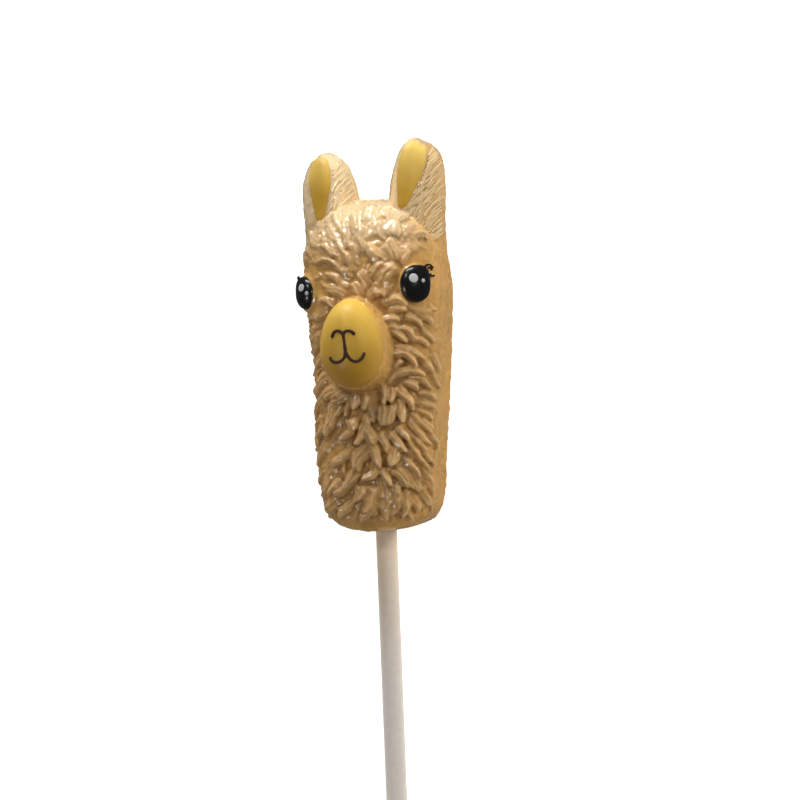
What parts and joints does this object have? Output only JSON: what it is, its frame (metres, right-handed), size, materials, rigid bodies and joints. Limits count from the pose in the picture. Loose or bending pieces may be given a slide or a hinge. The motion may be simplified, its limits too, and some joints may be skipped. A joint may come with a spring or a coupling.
{
  "type": "animal-head lollipop",
  "caption": "Lollipop of cast cream candy shaped as a woolly alpaca head with yellow muzzle and ear linings, glossy black eyes and a white paper stick, lying on its flat back.",
  "frame": {"origin": "on the flat back that it lies on, under the middle of the head", "axes": "+Y from the stick towards the ears, +Z out of the face, +X to the right as the face is looked at"},
  "size_m": [0.0286, 0.1814, 0.0246],
  "materials": {
    "cream_candy": "moulded hard candy, glossy and slightly translucent",
    "yellow_candy": "smooth candy with a soft satin gloss",
    "black_candy": "glossy glaze with white painted lights",
    "paper_stick": "rolled white paper, matte"
  },
  "bodies": {
    "root": {"candy_head": "cream_candy", "muzzle": "yellow_candy", "eye_left": "black_candy", "eye_right": "black_candy", "ear_lining_left": "yellow_candy", "ear_lining_right": "yellow_candy", "stick": "paper_stick"}
  },
  "joints": []
}
